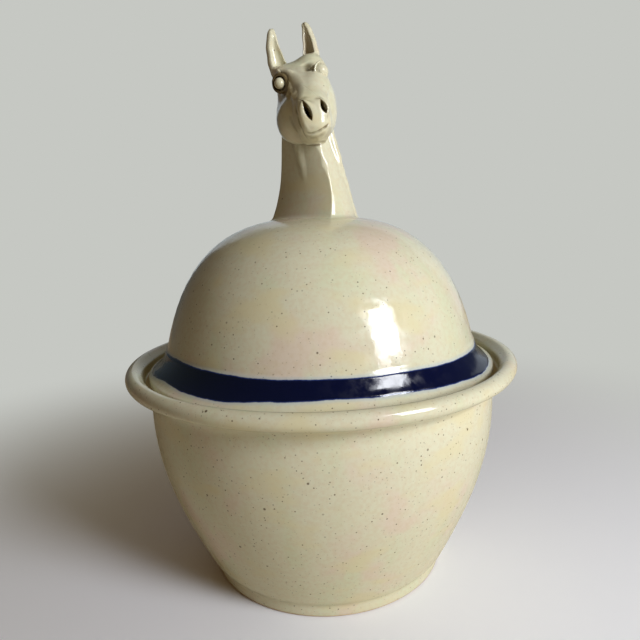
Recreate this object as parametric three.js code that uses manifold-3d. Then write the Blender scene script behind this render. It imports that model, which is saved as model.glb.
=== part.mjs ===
// Covered serving dish: a thrown stoneware bowl with a galleried rolled rim, and a domed lid
// whose knob is a modelled llama head on a hollow neck. Millimetres, +Z up, front towards -Y,
// origin on the table at the middle of the foot. Each mesh is one piece of clay as it was made.
import * as THREE from 'three';
import { mergeVertices } from 'three/addons/utils/BufferGeometryUtils.js';
import Module from 'manifold-3d';

const wasm = await Module();
wasm.setup();

// Joints between pieces, and the number of flats round a thrown form
const slipGap = 0.3;
const seatGap = 0.3;
const turns = 48;

// Bowl
const wallBaseRadius = 73.6;
const footLip = 1;
const footFlare = 0.7;
const footRingWidth = 9;
const footRecess = 3.6;
const footHeight = 8.6;
const footUndercut = 0.9;
const footEase = 1.2;
const bellyRadius = 106.8;
const bellyHeight = 109;
const bowlWall = 6.8;
const bowlFloor = 8;
const floorSweep = 26;
const rimHeight = 136.3;
const rimRollRadius = 4.6;
const rimOverhang = 5.4;
const rimUnderReach = 15;
const rimRollStart = -95;
const rimRollEnd = 112;

// Gallery that the lid drops into
const galleryFlare = 3.6;
const galleryDepth = 9.5;
const galleryCorner = 2.2;
const ledgeWidth = 10.2;

// Lid; the cove's hollow and the dome's shoulder and crown are shares of its height and radius
const lidClearance = 3.4;
const flangeThickness = 5;
const flangeEase = 0.9;
const seatWidth = 12.5;
const coveWidth = 10.6;
const coveHeight = 13.8;
const coveHollow = 0.22;
const creaseStep = 0.6;
const lidWall = 6;
const ventRadius = 6;
const domeHeight = 74.6;
const domeLean = 13;
const domeShoulder = 0.96;
const domeCrown = 0.41;

// Cobalt glaze lying in the cove of the flange, from one share of the cove to another
const glazeThickness = 0.7;
const glazeLead = 0.05;
const glazeTail = 0.72;
const glazeEdge = 0.02;

// Neck; the first power rounds its foot, the second draws in its middle
const neckSides = 28;
const neckFootPower = 1.25;
const neckDrawPower = 1.9;
const neckBaseWidth = 50;
const neckBaseDepth = 47;
const neckTopWidth = 26.4;
const neckTopDepth = 25;
const neckWall = 6;
const neckHeight = 72.5;
const neckLean = -4.2;
const neckSway = 9.5;
const neckFlare = 0.8;
const neckFlareShare = 0.17;
const neckTongue = 5.9;
const neckRidgeAside = 0.3;
const neckRidgeSwing = 0.2;
const neckRidgeReach = 0.65;
const neckLeftFace = -29;
const neckRightFace = 48;

// Head, in its own frame: x to the side, -y along the snout, z up, origin in the skull
const headForward = 4;
const headRoll = 4;
const crownRoll = 10;
const skullWidth = 31;
const skullHeight = 39;
const skullDrop = 2.5;
const skullRound = 8;
const headPower = 2.3;
const cheekWidth = 33.6;
const cheekHeight = 40;
const cheekDrop = 9.5;
const snoutLength = 41;
const snoutDrop = 21.5;
const snoutSide = 3.9;
const muzzleWidth = 19.5;
const muzzleHeight = 24;
const muzzleRound = 5;

// Mouth and lower jaw
const mouthDrop = 28.5;
const mouthSag = 1.2;
const mouthReach = 20;
const mouthSlit = 0.8;

// Nostrils
const nostrilSpacing = 9;
const nostrilShift = 1;
const nostrilLength = 9;
const nostrilWidth = 3;
const nostrilDepth = 7;
const nostrilTilt = 16;
const nostrilRise = 4;
const nostrilRim = 1.2;

// Eyes, each in a mound of the brow and looking out at its own angle from straight ahead
const eyeRadius = 3.7;
const eyeBulge = 4.5;
const eyeForward = 14;
const eyeRise = 4.7;
const eyelidRadius = 0.9;
const eyelidOverlap = 0.6;
const browRadius = 5;
const browDepth = 3;
const gazeLeft = 28;
const gazeRight = 48;

// Ears, hollowed from the front over a share of their length
const leftEarLength = 30;
const rightEarLength = 28;
const earRise = 9;
const earWidth = 11;
const earThickness = 7.5;
const earSpacing = 19;
const earWall = 1.8;
const earCurl = 1.8;
const earSweep = 3;
const earCupStart = 0.3;
const earCupEnd = 0.88;
const earCupForward = 2.9;

const clay = { roughness: 0.28, metalness: 0 };
const creamGlaze = { color: 0xd8d0b4, ...clay };
const cobaltGlaze = { color: 0x0d1428, roughness: 0.12, metalness: 0 };

// Shared tools

const flat = (x, y) => new THREE.Vector2(x, y);
const space = (x, y, z) => new THREE.Vector3(x, y, z);

function arc(centre, radius, from, to, steps) {
  return Array.from({ length: steps + 1 }, (_, i) => {
    const angle = THREE.MathUtils.degToRad(from + ((to - from) * i) / steps);
    return flat(centre.x + radius * Math.cos(angle), centre.y + radius * Math.sin(angle));
  });
}

function bend(start, control, end, steps) {
  return new THREE.QuadraticBezierCurve(start, control, end).getPoints(steps);
}

function revolve(profile) {
  const geometry = new THREE.LatheGeometry(profile, turns);
  geometry.rotateX(Math.PI / 2);
  return geometry;
}

function closeLoop(profile) {
  return [...profile, profile[0].clone()];
}

function geometryFrom(vertices, faces) {
  const geometry = new THREE.BufferGeometry();
  geometry.setAttribute('position', new THREE.Float32BufferAttribute(vertices, 3));
  geometry.setIndex(faces);
  return geometry;
}

// A skin over rings of equal count; each end closes on a point in its middle.
function skin(rings) {
  const count = rings[0].length;
  const vertices = rings.flat().flatMap((p) => [p.x, p.y, p.z]);
  const faces = [];
  for (let r = 0; r < rings.length - 1; r += 1) {
    for (let i = 0; i < count; i += 1) {
      const a = r * count + i;
      const b = r * count + ((i + 1) % count);
      faces.push(a, b, a + count, b, b + count, a + count);
    }
  }
  for (const [ring, first] of [[0, true], [rings.length - 1, false]]) {
    const middle = rings[ring].reduce((sum, p) => sum.add(p), space(0, 0, 0)).divideScalar(count);
    const hub = vertices.length / 3;
    vertices.push(middle.x, middle.y, middle.z);
    for (let i = 0; i < count; i += 1) {
      const a = ring * count + i;
      const b = ring * count + ((i + 1) % count);
      faces.push(hub, ...(first ? [b, a] : [a, b]));
    }
  }
  return geometryFrom(vertices, faces);
}

// Oval rings along a path. A station has a place, half sizes and the lean of its ring.
function loft(stations, { count, rings, power, grow = 0, startCap, endCap, capSteps = 3 }) {
  const through = (pick) => new THREE.CatmullRomCurve3(stations.map(pick), false, 'catmullrom');
  const path = through((s) => space(s.x ?? 0, -s.reach, s.rise));
  const sizes = through((s) => space(s.halfWidth, s.halfHeight, s.lean ?? 0));
  const ringAt = (t, push, scale) => {
    const size = sizes.getPoint(t);
    const lean = THREE.MathUtils.degToRad(size.z);
    const up = space(0, -Math.sin(lean), Math.cos(lean));
    const centre = path.getPoint(t).addScaledVector(space(0, -Math.cos(lean), -Math.sin(lean)), push);
    return Array.from({ length: count }, (_, i) => {
      const angle = (2 * Math.PI * i) / count;
      const round = (value) => scale * Math.sign(value) * Math.abs(value) ** (2 / power);
      const wide = (size.x + grow) * round(Math.cos(angle));
      const high = (size.y + grow) * round(Math.sin(angle));
      return centre.clone().add(space(wide, 0, 0)).addScaledVector(up, high);
    });
  };
  const cap = (t, depth) => Array.from({ length: capSteps }, (_, i) => {
    const angle = ((i + 1) / (capSteps + 0.4)) * (Math.PI / 2);
    const push = Math.sign(depth) * (Math.abs(depth) + grow) * Math.sin(angle);
    return ringAt(t, push, Math.cos(angle));
  });
  const body = Array.from({ length: rings + 1 }, (_, i) => ringAt(i / rings, 0, 1));
  return skin([...cap(0, -startCap).reverse(), ...body, ...cap(1, endCap)]);
}

function toSolid(geometry) {
  const bare = geometry.clone();
  bare.deleteAttribute('normal');
  bare.deleteAttribute('uv');
  const merged = mergeVertices(bare, 1e-4);
  const mesh = new wasm.Mesh({
    numProp: 3,
    vertProperties: new Float32Array(merged.attributes.position.array),
    triVerts: new Uint32Array(merged.index.array),
  });
  return new wasm.Manifold(mesh);
}

function toGeometry(solid) {
  const mesh = solid.getMesh();
  const { numProp } = mesh;
  const positions = [];
  for (let i = 0; i < mesh.vertProperties.length; i += numProp) {
    positions.push(...mesh.vertProperties.slice(i, i + 3));
  }
  return geometryFrom(positions, [...mesh.triVerts]);
}

// Bowl

const galleryRadius = bellyRadius + galleryFlare;
const rimCentre = flat(galleryRadius + rimOverhang, rimHeight - rimRollRadius);
const ledgeHeight = rimHeight - galleryDepth;
const ledgeInner = galleryRadius - ledgeWidth;

function wallRadius(z) {
  const rise = bellyRadius - wallBaseRadius;
  return wallBaseRadius + rise * Math.sin((Math.PI / 2) * (z / bellyHeight));
}

function innerRadius(z) {
  const slope = (wallRadius(z + 1) - wallRadius(z - 1)) / 2;
  return wallRadius(z) - bowlWall * Math.hypot(1, slope);
}

function bowlProfile() {
  const footRadius = wallBaseRadius + footLip;
  const footInner = footRadius - footRingWidth;
  const underside = [
    flat(0, footRecess),
    flat(footInner - footRecess, footRecess),
    flat(footInner - footEase, footEase),
    flat(footInner, 0),
  ];
  const footSide = [
    flat(footRadius - footEase, 0),
    flat(footRadius, footEase),
    flat(footRadius + footFlare, footHeight - footEase),
    flat(footRadius + footFlare - footUndercut, footHeight),
  ];
  const wallTop = rimHeight - rimRollRadius - rimUnderReach;
  const wallFoot = footHeight + footEase;
  const wall = Array.from({ length: 8 }, (_, i) => {
    const z = wallFoot + ((wallTop - wallFoot) * i) / 7;
    return flat(wallRadius(z), z);
  });
  const roll = arc(rimCentre, rimRollRadius, rimRollStart, rimRollEnd, 7);
  const under = bend(wall.at(-1), flat(wallRadius(wallTop), wallTop + rimUnderReach / 2), roll[0], 4);
  const cornerCentre = flat(galleryRadius - galleryCorner, ledgeHeight + galleryCorner);
  const gallery = arc(cornerCentre, galleryCorner, 0, -90, 3);
  const ledge = [
    flat(ledgeInner + footEase, ledgeHeight),
    flat(ledgeInner, ledgeHeight - footEase),
  ];
  const floorTop = footRecess + bowlFloor;
  const sweepTop = floorTop + floorSweep;
  const innerTop = ledgeHeight - galleryDepth;
  const inside = Array.from({ length: 5 }, (_, i) => {
    const z = innerTop + ((sweepTop - innerTop) * i) / 4;
    return flat(innerRadius(z), z);
  });
  const sweepCorner = flat(innerRadius(floorTop + floorSweep / 4), floorTop);
  const sweepEnd = flat(sweepCorner.x - 2 * floorSweep, floorTop);
  const sweep = bend(inside.at(-1), sweepCorner, sweepEnd, 4);
  return [
    ...underside, ...footSide, ...wall, ...under.slice(1), ...roll.slice(1),
    ...gallery, ...ledge, ...inside, ...sweep.slice(1), flat(0, floorTop),
  ];
}

// Lid

const lidSeat = ledgeHeight + seatGap;
const flangeRadius = galleryRadius - lidClearance;
const flangeTop = lidSeat + flangeThickness;
const coveFoot = flat(flangeRadius - flangeEase, flangeTop);
const coveTop = flat(coveFoot.x - coveWidth, coveFoot.y + coveHeight);
const domeRadius = coveTop.x - creaseStep;

function domeCurve(inset) {
  const lean = THREE.MathUtils.degToRad(domeLean);
  const start = flat(domeRadius - inset, coveTop.y + creaseStep);
  const height = domeHeight - inset;
  const shoulder = flat(-Math.sin(lean), Math.cos(lean)).multiplyScalar(height * domeShoulder);
  return new THREE.CubicBezierCurve(
    start,
    shoulder.add(start),
    flat(start.x * domeCrown, start.y + height),
    flat(0, start.y + height),
  );
}

function curveAtRadius(curve, radius) {
  let low = 0;
  let high = 1;
  for (let i = 0; i < 40; i += 1) {
    const middle = (low + high) / 2;
    if (curve.getPoint(middle).x > radius) low = middle;
    else high = middle;
  }
  return low;
}

const coveCurve = new THREE.QuadraticBezierCurve(
  coveTop,
  flat(coveTop.x + coveWidth * coveHollow, coveFoot.y + coveHeight * coveHollow),
  coveFoot,
);

function lidProfile() {
  const outer = domeCurve(0);
  const inner = domeCurve(lidWall);
  const outerEnd = curveAtRadius(outer, ventRadius);
  const innerEnd = curveAtRadius(inner, ventRadius);
  const outside = Array.from({ length: 11 }, (_, i) => outer.getPoint((outerEnd * i) / 10));
  const inside = Array.from({ length: 8 }, (_, i) => inner.getPoint(innerEnd * (1 - i / 7)));
  const cove = coveCurve.getPoints(5).reverse();
  const seatInner = flangeRadius - seatWidth;
  return closeLoop([
    flat(seatInner, lidSeat),
    flat(flangeRadius - flangeEase, lidSeat),
    flat(flangeRadius, lidSeat + flangeEase),
    flat(flangeRadius, flangeTop - flangeEase),
    ...cove, ...outside, ...inside,
    flat(inner.getPoint(0).x + creaseStep, lidSeat + flangeThickness * 1.5),
    flat(seatInner - flangeEase, lidSeat + flangeEase),
  ]);
}

function glazeProfile() {
  const steps = 5;
  const offsetPoint = (t, out) => {
    const tangent = coveCurve.getTangent(t);
    return coveCurve.getPoint(t).add(flat(-tangent.y, tangent.x).multiplyScalar(out));
  };
  const stations = Array.from({ length: steps + 1 },
    (_, i) => glazeLead + ((glazeTail - glazeLead) * i) / steps);
  const under = stations.map((t) => offsetPoint(t, slipGap));
  const middle = slipGap + glazeThickness / 2;
  const over = stations.slice(1, -1).map((t) => offsetPoint(t, slipGap + glazeThickness));
  return closeLoop([
    ...under, offsetPoint(glazeTail + glazeEdge, middle), ...over.reverse(),
    offsetPoint(glazeLead - glazeEdge, middle),
  ]);
}

// Finial; left and right are the viewer's

const crownHeight = domeCurve(0).getPoint(1).y;
const headPlace = new THREE.Matrix4()
  .makeTranslation(neckLean, -headForward, crownHeight + neckHeight)
  .multiply(new THREE.Matrix4().makeRotationY(THREE.MathUtils.degToRad(-headRoll)));
const crownTilt = new THREE.Matrix4().makeRotationY(THREE.MathUtils.degToRad(-crownRoll));

// The dome with the slip under the neck, which shapes the neck's foot.
function domeSpace() {
  const curve = domeCurve(-slipGap);
  return toSolid(revolve([flat(0, coveTop.y), flat(domeRadius, coveTop.y), ...curve.getPoints(16)]));
}

// The neck as rings from below the dome's skin to inside the head: a concave taper with
// two pressed faces in front, which meet in a ridge right of the middle.
function neckLoft(inset, overshoot) {
  const blend = THREE.MathUtils.lerp;
  const foot = curveAtRadius(domeCurve(0), neckBaseWidth / 2);
  const base = domeCurve(0).getPoint(foot).y;
  const top = crownHeight + neckHeight - neckTongue;
  const ring = (share, z) => {
    const taper = 1 - (1 - share ** neckFootPower) ** neckDrawPower;
    const flare = neckFlare * Math.max(0, 1 - share / neckFlareShare) ** 2;
    const centre = neckLean * share ** 1.5 + neckSway * share * (1 - share) ** 3;
    const wide = blend(neckBaseWidth, neckTopWidth, taper) / 2 + flare;
    const deep = blend(neckBaseDepth, neckTopDepth, taper) / 2 + flare;
    const swing = Math.sin((Math.PI * share) / neckRidgeReach);
    const ridgeTurn = -Math.acos(neckRidgeAside + neckRidgeSwing * swing);
    const ridge = flat(wide * Math.cos(ridgeTurn), deep * Math.sin(ridgeTurn));
    const faces = [neckLeftFace, neckRightFace].map((degrees) => {
      const turn = THREE.MathUtils.degToRad(degrees);
      const normal = flat(Math.sin(turn), -Math.cos(turn));
      return { normal, reach: normal.dot(ridge) - inset };
    });
    return Array.from({ length: neckSides }, (_, i) => {
      const angle = ridgeTurn + (2 * Math.PI * i) / neckSides;
      const spoke = flat((wide - inset) * Math.cos(angle), (deep - inset) * Math.sin(angle));
      const cuts = faces.map(({ normal, reach }) => reach / Math.max(reach, normal.dot(spoke)));
      spoke.multiplyScalar(Math.min(...cuts));
      return space(centre + spoke.x, spoke.y, z);
    });
  };
  const shares = [0, 0.05, 0.12, 0.25, 0.42, 0.62, 0.82, 1];
  const rings = shares.map((share) => ring(share, blend(base, top, share)));
  return skin([ring(0, base - neckWall - overshoot), ...rings, ring(1, top + overshoot)]);
}

// Stations of the head from the back of the skull to the muzzle, as shares of its sizes.
function headStations() {
  const blend = THREE.MathUtils.lerp;
  const station = (reach, rise, width, height, lean, turned) => ({
    x: snoutSide * turned, reach, rise, halfWidth: width / 2, halfHeight: height / 2, lean,
  });
  const end = snoutLength - muzzleRound;
  const jowl = cheekDrop * 1.5;
  return [
    station(-skullRound, -skullDrop * 1.2, skullWidth * 0.84, skullHeight * 0.8, 0, 0),
    station(0, -skullDrop, skullWidth, skullHeight, 0, 0),
    station(end * 0.25, -cheekDrop, cheekWidth, cheekHeight, 4, 0),
    station(end * 0.5, -jowl, cheekWidth * 0.98, cheekHeight * 0.86, 8, 0.15),
    station(end * 0.75, -blend(jowl, snoutDrop, 0.5), blend(cheekWidth, muzzleWidth, 0.57),
      blend(cheekHeight, muzzleHeight, 0.7), 8, 0.55),
    station(end, -snoutDrop, muzzleWidth, muzzleHeight, 6, 1),
  ];
}

function headLoft(grow) {
  return loft(headStations(), {
    count: 26, rings: 10, power: headPower, grow, startCap: skullRound, endCap: muzzleRound,
  });
}

// Half width of the head at a place over the cheek and a height.
function headHalfWidth(reach, rise) {
  const [near, far] = [headStations()[2], headStations()[3]];
  const share = (reach - near.reach) / (far.reach - near.reach);
  const along = (key) => THREE.MathUtils.lerp(near[key], far[key], share);
  const height = Math.min(0.98, Math.abs(rise - along('rise')) / along('halfHeight'));
  return along('halfWidth') * (1 - height ** headPower) ** (1 / headPower);
}

// The cutter under the mouth line: its top sags in the middle as a smile does.
function mouthBlock(slit, gap) {
  const half = cheekWidth;
  const bottom = -snoutDrop - muzzleHeight;
  const middle = -mouthDrop - slit;
  const corner = middle + mouthSag * (half / (muzzleWidth / 2)) ** 2;
  const outline = new THREE.Shape();
  outline.moveTo(-half, bottom);
  outline.lineTo(half, bottom);
  outline.lineTo(half, corner);
  outline.quadraticCurveTo(0, 2 * middle - corner, -half, corner);
  outline.closePath();
  const block = new THREE.ExtrudeGeometry(outline,
    { depth: snoutLength, bevelEnabled: false, curveSegments: 8 });
  block.rotateX(Math.PI / 2);
  block.translate(snoutSide, -mouthReach - gap, 0);
  return toSolid(block);
}

// A lens standing on the muzzle: its long side runs up the face.
function nostrilLens(side, grow, depth) {
  const lens = new THREE.SphereGeometry(1, 12, 8);
  lens.scale(nostrilWidth / 2 + grow, depth, nostrilLength / 2 + grow);
  lens.rotateY(THREE.MathUtils.degToRad(-nostrilTilt));
  const x = snoutSide + nostrilShift + (side * nostrilSpacing) / 2;
  lens.translate(x, nostrilRim - snoutLength, nostrilRise - snoutDrop);
  return lens;
}

function gaze(side) {
  const turn = THREE.MathUtils.degToRad(side < 0 ? -gazeLeft : gazeRight);
  return space(Math.sin(turn), -Math.cos(turn), 0);
}

function eyeCentre(side) {
  const out = headHalfWidth(eyeForward, eyeRise) + eyeBulge;
  return space(side * out, -eyeForward, eyeRise).applyMatrix4(crownTilt);
}

function eyeBall(side, grow) {
  const ball = new THREE.SphereGeometry(eyeRadius + grow, 12, 9);
  const centre = eyeCentre(side);
  ball.translate(centre.x, centre.y, centre.z);
  return ball;
}

function browMound(side, grow) {
  const mound = new THREE.SphereGeometry(browRadius + grow, 14, 10);
  const centre = eyeCentre(side).addScaledVector(gaze(side), -browDepth);
  mound.translate(centre.x, centre.y, centre.z);
  return mound;
}

function eyelidRoll(side) {
  const ring = eyeRadius + eyelidRadius - eyelidOverlap;
  const roll = new THREE.TorusGeometry(ring, eyelidRadius, 6, 18);
  roll.applyQuaternion(new THREE.Quaternion().setFromUnitVectors(space(0, 0, 1), gaze(side)));
  const centre = eyeCentre(side);
  roll.translate(centre.x, centre.y, centre.z);
  return roll;
}

// An ear as a leaf on a curved rib; the second, smaller leaf hollows it from the front.
function earLeaf(side, inset) {
  const [start, end] = inset > 0 ? [earCupStart, earCupEnd] : [0, 1];
  const length = side < 0 ? leftEarLength : rightEarLength;
  const forward = inset > 0 ? earCupForward : 0;
  const stations = [0, 0.25, 0.5, 0.75, 0.94].map((share) => {
    const along = start + share * (end - start);
    const belly = Math.cos((Math.PI / 2) * Math.max(0, along - 0.18)) ** 0.9;
    return {
      x: side * (earSpacing / 2 + earCurl * Math.sin(Math.PI * along)),
      reach: forward - 1 - earSweep * along * along,
      rise: earRise + length * along,
      halfWidth: (earWidth / 2) * belly - inset,
      halfHeight: (earThickness / 2) * belly - inset * 0.6,
      lean: -90,
    };
  });
  const leaf = loft(stations, { count: 12, rings: 7, power: 2, startCap: 1, endCap: 2, capSteps: 2 });
  return leaf.applyMatrix4(crownTilt);
}

function headSolid(grow) {
  return [-1, 1].reduce((solid, side) => solid.add(toSolid(browMound(side, grow))),
    toSolid(headLoft(grow)));
}

function buildFinial() {
  const headSpace = headSolid(slipGap);
  let head = headSolid(0).subtract(mouthBlock(0, 0));
  for (const side of [-1, 1]) {
    head = head.add(toSolid(nostrilLens(side, nostrilRim, nostrilRim * 2)));
  }
  for (const side of [-1, 1]) {
    head = head.subtract(toSolid(nostrilLens(side, 0, nostrilDepth)));
    head = head.subtract(toSolid(eyeBall(side, slipGap)));
  }
  const pieces = {
    finial_head: head,
    lower_jaw: toSolid(headLoft(0)).intersect(mouthBlock(mouthSlit, slipGap)),
  };
  for (const [side, name] of [[-1, 'left'], [1, 'right']]) {
    const socket = headSpace.add(toSolid(eyeBall(side, slipGap)));
    pieces[`eye_${name}`] = toSolid(eyeBall(side, 0));
    pieces[`eyelid_${name}`] = toSolid(eyelidRoll(side)).subtract(socket);
    pieces[`ear_${name}`] = toSolid(earLeaf(side, 0)).subtract(toSolid(earLeaf(side, earWall)))
      .subtract(headSpace);
  }
  const placed = {};
  for (const [name, solid] of Object.entries(pieces)) {
    placed[name] = toGeometry(solid).applyMatrix4(headPlace);
  }
  const headInPlace = toSolid(headLoft(slipGap).applyMatrix4(headPlace));
  const neck = toSolid(neckLoft(0, 0)).subtract(toSolid(neckLoft(neckWall, 2)))
    .subtract(domeSpace()).subtract(headInPlace);
  return { finial_neck: toGeometry(neck), ...placed };
}

// Assembly

function mesh(name, geometry, finish) {
  const part = new THREE.Mesh(geometry, new THREE.MeshStandardMaterial(finish));
  part.name = name;
  return part;
}

const dish = new THREE.Group();
dish.add(mesh('bowl', revolve(bowlProfile()), creamGlaze));

const lid = new THREE.Group();
lid.add(mesh('lid_dome', revolve(lidProfile()), creamGlaze));
lid.add(mesh('cobalt_band', revolve(glazeProfile()), cobaltGlaze));
for (const [name, geometry] of Object.entries(buildFinial())) {
  lid.add(mesh(name, geometry, creamGlaze));
}
dish.add(lid);

export default dish;
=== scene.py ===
import math

import bpy
import numpy as np
from mathutils import Matrix, Vector


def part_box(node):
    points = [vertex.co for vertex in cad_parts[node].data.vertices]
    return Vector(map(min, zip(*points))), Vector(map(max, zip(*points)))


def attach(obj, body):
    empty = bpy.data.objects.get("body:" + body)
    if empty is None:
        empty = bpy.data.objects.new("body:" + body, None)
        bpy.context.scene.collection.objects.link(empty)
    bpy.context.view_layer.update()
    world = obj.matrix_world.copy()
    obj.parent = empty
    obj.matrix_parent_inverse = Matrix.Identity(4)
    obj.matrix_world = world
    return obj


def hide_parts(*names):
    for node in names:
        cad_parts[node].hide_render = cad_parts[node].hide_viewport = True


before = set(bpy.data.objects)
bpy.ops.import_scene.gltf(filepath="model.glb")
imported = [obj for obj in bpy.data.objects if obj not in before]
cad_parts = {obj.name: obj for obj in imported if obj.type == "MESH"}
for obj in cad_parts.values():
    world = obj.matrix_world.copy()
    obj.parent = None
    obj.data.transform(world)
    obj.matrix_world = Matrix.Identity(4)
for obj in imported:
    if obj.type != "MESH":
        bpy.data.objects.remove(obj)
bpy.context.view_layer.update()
mm = 0.001


# Shared tools. Lengths are in mm until a mesh is made.

def boxOf(node):
    low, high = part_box(node)
    return np.array(low) / mm, np.array(high) / mm


def smoothStep(start, end, x):
    t = np.clip((x - start) / (end - start), 0, 1)
    return t * t * (3 - 2 * t)


def through(knots, values, x):  # a smooth curve through a table of values
    knots, values = np.asarray(knots, float), np.asarray(values, float)
    slopes = np.gradient(values, knots)
    i = np.clip(np.searchsorted(knots, x) - 1, 0, len(knots) - 2)
    span = knots[i + 1] - knots[i]
    t = np.clip((x - knots[i]) / span, 0, 1)
    a, b = values[i], values[i + 1]
    ma, mb = slopes[i] * span, slopes[i + 1] * span
    return a + t * ma + t * t * (3 * (b - a) - 2 * ma - mb) + t ** 3 * (2 * (a - b) + ma + mb)


def bezier(points, steps):  # a bezier curve of any degree
    t = np.linspace(0, 1, steps + 1)[:, None]
    layer = [np.asarray(p, float) for p in points]
    while len(layer) > 1:
        layer = [a * (1 - t) + b * t for a, b in zip(layer, layer[1:])]
    return layer[0]


def softened(corners, steps=4):  # corners are radius, height and how much is rounded off
    path = []
    for i, (r, z, cut) in enumerate(corners):
        here = np.array([r, z], float)
        if cut == 0 or i in (0, len(corners) - 1):
            path.append(here)
            continue
        before = np.array(corners[i - 1][:2], float) - here
        after = np.array(corners[i + 1][:2], float) - here
        lengths = np.linalg.norm(before), np.linalg.norm(after)
        start = here + before / lengths[0] * min(cut, lengths[0] / 2)
        end = here + after / lengths[1] * min(cut, lengths[1] / 2)
        path.extend(bezier([start, here, end], steps))
    return np.array(path)


def evened(path, spacing):  # adds points where a stretch is longer than the spacing
    out = [path[0]]
    for a, b in zip(path, path[1:]):
        gap = np.linalg.norm(b - a)
        if gap < 1e-6:
            continue
        parts = max(1, math.ceil(gap / spacing))
        out.extend(a + (b - a) * k / parts for k in range(1, parts + 1))
    return np.array(out)


def meshPiece(name, vertices, faces, normals=None):
    mesh = bpy.data.meshes.new(name)
    mesh.from_pydata((np.asarray(vertices) * mm).tolist(), [], [tuple(f) for f in faces])
    mesh.validate()
    mesh.polygons.foreach_set("use_smooth", [True] * len(mesh.polygons))
    if normals is not None:
        mesh.normals_split_custom_set_from_vertices(np.asarray(normals, float).tolist())
    piece = bpy.data.objects.new(name, mesh)
    bpy.context.scene.collection.objects.link(piece)
    return piece


def addAttribute(piece, name, values):
    layer = piece.data.attributes.new(name, "FLOAT", "POINT")
    layer.data.foreach_set("value", np.asarray(values, np.float32))


def turned(name, path, segments, wobble, closed=True):  # an outline turned as on the wheel
    angles = np.linspace(0, 2 * math.pi, segments, endpoint=False)
    vertices, rows = [], []
    for r, z in path:
        if r < 1e-6:
            rows.append([len(vertices)])
            vertices.append((0, 0, z))
            continue
        push, lift = wobble(r, z, angles)
        rows.append(list(range(len(vertices), len(vertices) + segments)))
        vertices.extend(zip((r + push) * np.cos(angles), (r + push) * np.sin(angles), z + lift))
    faces = []
    pairs = list(zip(rows, rows[1:]))
    if closed and len(rows[0]) > 1:
        pairs.append((rows[-1], rows[0]))
    for a, b in pairs:
        for i in range(segments):
            j = (i + 1) % segments
            if len(a) == 1:
                faces.append((a[0], b[j], b[i]))
            elif len(b) == 1:
                faces.append((a[i], a[j], b[0]))
            else:
                faces.append((a[i], a[j], b[j], b[i]))
    return meshPiece(name, vertices, faces)


# Camera at the photograph's place

view = {"place": (0.57, -345.7, 221.2), "pitch": 10.72, "roll": 2.25, "lens": 30.83, "sensor": 36}


def makeCamera():
    pitch, roll = math.radians(view["pitch"]), math.radians(view["roll"])
    right, ahead = Vector((1, 0, 0)), Vector((0, math.cos(pitch), -math.sin(pitch)))
    up = right.cross(ahead)
    turn = Matrix.Rotation(roll, 3, ahead)
    right, up = turn @ right, turn @ up
    data = bpy.data.cameras.new("camera")
    data.lens, data.sensor_width = view["lens"], view["sensor"]
    data.clip_start, data.clip_end = 0.01, 50
    camera = bpy.data.objects.new("camera", data)
    matrix = Matrix((right, up, -ahead)).transposed().to_4x4()
    matrix.translation = Vector(view["place"]) * mm
    camera.matrix_world = matrix
    bpy.context.scene.collection.objects.link(camera)
    bpy.context.scene.camera = camera


makeCamera()
print("camera placed")


# Glazes

class Nodes:
    def __init__(self, tree):
        self.tree = tree

    def put(self, socket, value):  # a value, or the output of another node
        if isinstance(value, bpy.types.NodeSocket):
            self.tree.links.new(value, socket)
        else:
            socket.default_value = value

    def add(self, kind, inputs=None, **settings):
        node = self.tree.nodes.new(kind)
        for key, value in settings.items():
            setattr(node, key, value)
        for key, value in (inputs or {}).items():
            self.put(node.inputs[key], value)
        return node

    def maths(self, operation, a, b=0.0):
        return self.add("ShaderNodeMath", {0: a, 1: b}, operation=operation).outputs[0]

    def between(self, value, low, high):
        above = self.maths("GREATER_THAN", value, low)
        return self.maths("MULTIPLY", above, self.maths("LESS_THAN", value, high))

    def ramp(self, value, start, end, low=0.0, high=1.0):
        node = self.add("ShaderNodeMapRange", {"Value": value, "From Min": start, "From Max": end,
                                               "To Min": low, "To Max": high},
                        interpolation_type="SMOOTHSTEP")
        return node.outputs["Result"]

    def mix(self, share, a, b):
        return self.add("ShaderNodeMix", {0: share, 6: a, 7: b}, data_type="RGBA").outputs[2]

    def stretched(self, place, scale):
        return self.add("ShaderNodeVectorMath", {0: place, 1: scale}, operation="MULTIPLY").outputs[0]

    def noise(self, place, size, detail=2.0, rough=0.5):
        return self.add("ShaderNodeTexNoise", {"Vector": place, "Scale": 1 / (size * mm),
                                               "Detail": detail, "Roughness": rough}).outputs["Fac"]

    def ragged(self, place, size, amount):  # noise about zero, for uneven edges
        return self.maths("MULTIPLY", self.maths("SUBTRACT", self.noise(place, size, 3), 0.5), amount)

    def painted(self, name):
        return self.add("ShaderNodeAttribute", attribute_name=name).outputs["Fac"]


def newMaterial(name):
    material = bpy.data.materials.new(name)
    material.use_nodes = True
    tree = material.node_tree
    return material, Nodes(tree), tree.nodes["Principled BSDF"], tree.nodes["Material Output"]


def shade(red, green, blue):
    def linear(v):
        v /= 255
        return v / 12.92 if v <= 0.04045 else ((v + 0.055) / 1.055) ** 2.4
    return (linear(red), linear(green), linear(blue), 1)


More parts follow.
